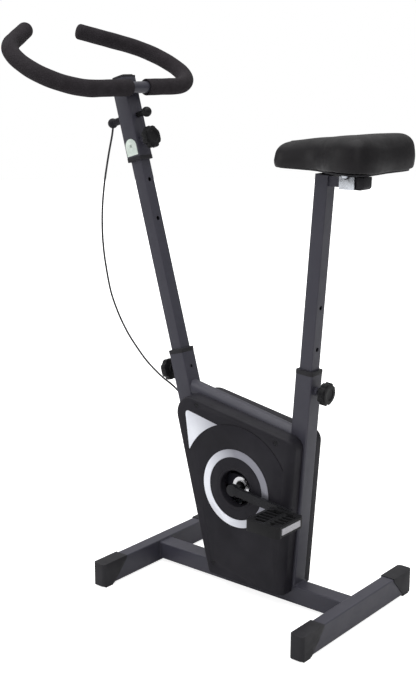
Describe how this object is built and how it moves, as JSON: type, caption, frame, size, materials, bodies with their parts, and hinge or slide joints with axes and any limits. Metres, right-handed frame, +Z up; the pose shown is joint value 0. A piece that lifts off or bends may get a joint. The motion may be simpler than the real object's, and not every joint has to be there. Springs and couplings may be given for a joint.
{
  "type": "exercise bike",
  "caption": "Upright exercise bike with a looped foam-grip handlebar, height-adjustable saddle, covered belt-driven flywheel, pedals, and a base of two crosswise stabilizer tubes.",
  "frame": {"origin": "bottom centre of the bounding box, on the floor under the middle of the bike", "axes": "+X forward towards the handlebar, +Y to the rider's left, +Z up"},
  "size_m": [0.9178, 0.494, 1.2109],
  "materials": {
    "frame_paint": "satin dark grey",
    "tube_plastic": "moulded, fine grain",
    "cover_plastic": "moulded, fine grain",
    "grip_foam": "closed-cell foam",
    "saddle_vinyl": "embossed vinyl",
    "crank_steel": "semi-gloss black",
    "pedal_plastic": "moulded",
    "reflector": "prismatic",
    "bright_steel": "plated",
    "plated_steel": "zinc plated",
    "turned_steel": "turned",
    "trim_silver": "satin foil",
    "knob_plastic": "moulded",
    "cable_rubber": "sheathed",
    "belt_rubber": "ribbed",
    "label_metal": "pressed plate"
  },
  "bodies": {
    "frame": {"base_rail": "frame_paint", "front_stabilizer": "frame_paint", "rear_stabilizer": "frame_paint", "front_left_cap": "tube_plastic", "front_right_cap": "tube_plastic", "rear_left_cap": "tube_plastic", "rear_right_cap": "tube_plastic", "front_tube": "frame_paint", "seat_tube": "frame_paint", "top_bar": "frame_paint", "crank_bracket": "frame_paint", "front_bushing": "tube_plastic", "seat_bushing": "tube_plastic", "front_post": "frame_paint", "crank_cups": "bright_steel", "flywheel_brackets": "frame_paint", "flywheel_bearings": "plated_steel", "drive_belt": "belt_rubber", "brake_bracket": "frame_paint", "left_cover": "cover_plastic", "right_cover": "cover_plastic", "left_trim": "trim_silver", "right_trim": "trim_silver", "cover_screws": "crank_steel", "cable_grommet": "cable_rubber", "tension_cable": "cable_rubber"},
    "crank": {"crank": "crank_steel", "crank_cones": "bright_steel", "bearing_balls": "bright_steel", "drive_pulley": "pedal_plastic", "pedal_axles": "plated_steel"},
    "left_pedal": {"left_pedal": "pedal_plastic", "left_reflectors": "reflector"},
    "right_pedal": {"right_pedal": "pedal_plastic", "right_reflectors": "reflector"},
    "flywheel": {"flywheel": "turned_steel", "flywheel_shaft": "plated_steel", "flywheel_pulley": "pedal_plastic"},
    "brake": {"brake_arm": "plated_steel", "brake_magnets": "plated_steel", "brake_spring": "plated_steel"},
    "stem": {"stem_tube": "frame_paint", "stem_bushing": "tube_plastic", "stem_cap": "tube_plastic", "handlebar": "frame_paint", "left_grip": "grip_foam", "right_grip": "grip_foam", "tension_housing": "cover_plastic", "label_plate": "label_metal"},
    "tension_knob": {"tension_knob": "knob_plastic"},
    "stem_knob": {"stem_knob": "knob_plastic"},
    "seat_knob": {"seat_knob": "knob_plastic"},
    "front_knob": {"front_knob": "knob_plastic"},
    "seat_post": {"seat_post": "frame_paint", "arm_end_cap": "tube_plastic"},
    "saddle_carriage": {"saddle_clamp": "plated_steel", "clamp_bolt": "plated_steel"},
    "saddle": {"saddle_base": "tube_plastic", "saddle_pad": "saddle_vinyl"}
  },
  "joints": [
    {"name": "crank_spin", "type": "hinge", "parent": "frame", "child": "crank", "pos_m": [-0.13185, 0, 0.247], "axis": [0, 1, 0], "continuous": true},
    {"name": "left_pedal_spin", "type": "hinge", "parent": "crank", "child": "left_pedal", "pos_m": [-0.28077, 0.12, 0.22898], "axis": [0, 1, 0], "continuous": true},
    {"name": "right_pedal_spin", "type": "hinge", "parent": "crank", "child": "right_pedal", "pos_m": [0.01706, -0.12, 0.26502], "axis": [0, 1, 0], "continuous": true},
    {"name": "flywheel_spin", "type": "hinge", "parent": "frame", "child": "flywheel", "pos_m": [-0.15385, 0, 0.136], "axis": [0, 1, 0], "continuous": true},
    {"name": "stem_height", "type": "slide", "parent": "frame", "child": "stem", "axis": [0.2689, 0, 0.9632], "range_m": [-0.086, 0], "deforming": ["tension_cable"]},
    {"name": "tension_turn", "type": "hinge", "parent": "stem", "child": "tension_knob", "pos_m": [0.16444, 0, 1.01855], "axis": [0.9632, 0, -0.2689], "range_deg": [0, 300]},
    {"name": "brake_swing", "type": "hinge", "parent": "frame", "child": "brake", "pos_m": [-0.07885, 0, 0.104], "axis": [0, 1, 0], "range_deg": [0, 6]},
    {"name": "stem_lock", "type": "slide", "parent": "stem", "child": "stem_knob", "axis": [0.9632, 0, -0.2689], "range_m": [0, 0.007]},
    {"name": "seat_lock", "type": "slide", "parent": "frame", "child": "seat_knob", "axis": [0.9974, 0, 0.0715], "range_m": [0, 0.007]},
    {"name": "front_lock", "type": "slide", "parent": "frame", "child": "front_knob", "axis": [-0.9632, 0, 0.2689], "range_m": [0, 0.007]},
    {"name": "seat_height", "type": "slide", "parent": "frame", "child": "seat_post", "axis": [-0.0715, 0, 0.9974], "range_m": [-0.172, 0]},
    {"name": "saddle_reach", "type": "slide", "parent": "seat_post", "child": "saddle_carriage", "axis": [1, 0, 0], "range_m": [0, 0.012]},
    {"name": "saddle_tilt", "type": "hinge", "parent": "saddle_carriage", "child": "saddle", "pos_m": [-0.36385, 0, 0.9175], "axis": [0, 1, 0], "range_deg": [-6, 5]}
  ],
  "couplings": [
    {"joint": "flywheel_spin", "follows": "crank_spin", "ratio": 3.75},
    {"joint": "brake_swing", "follows": "tension_turn", "ratio": 0.02}
  ]
}
